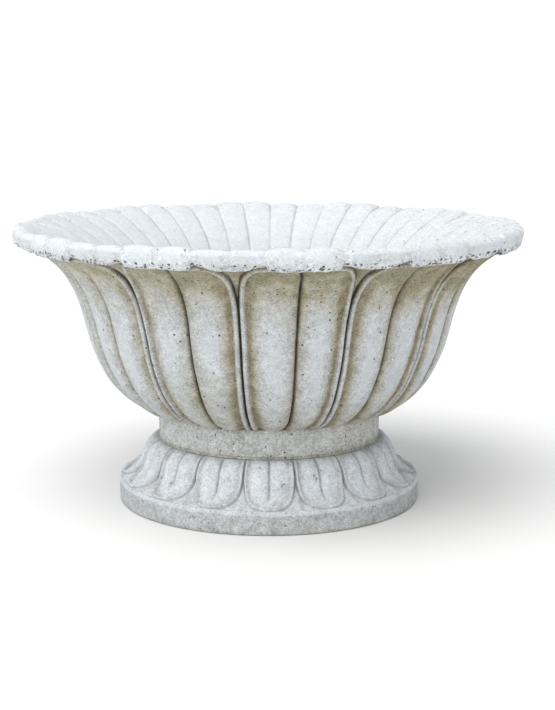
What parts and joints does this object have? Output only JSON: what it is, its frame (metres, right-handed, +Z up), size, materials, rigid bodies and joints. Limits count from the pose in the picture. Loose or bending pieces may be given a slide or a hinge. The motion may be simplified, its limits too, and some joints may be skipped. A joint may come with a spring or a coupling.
{
  "type": "urn planter",
  "caption": "Wide round lotus urn planter: petalled bowl with scalloped rolled lip and plain neck, bedded on a separate leaf-carved round foot, with a drain through the floor.",
  "frame": {"origin": "centre of the foot's underside, at the ground", "axes": "+Z up along the urn's axis; -Y towards the petal seam that is azimuth 0"},
  "size_m": [0.898, 0.898, 0.5],
  "materials": {
    "bowl_stone": "weathered cast stone, matt, pitted, stained in the hollows",
    "foot_stone": "weathered cast stone, matt, sanded",
    "mortar": "dirty bedding mortar, rough",
    "sleeve": "grey rigid plastic pipe",
    "dowel_steel": "stainless bar"
  },
  "bodies": {
    "root": {"bowl": "bowl_stone", "base": "foot_stone", "mortar_bed": "mortar", "drain_sleeve": "sleeve", "dowel_1": "dowel_steel", "dowel_2": "dowel_steel", "dowel_3": "dowel_steel"}
  },
  "joints": []
}
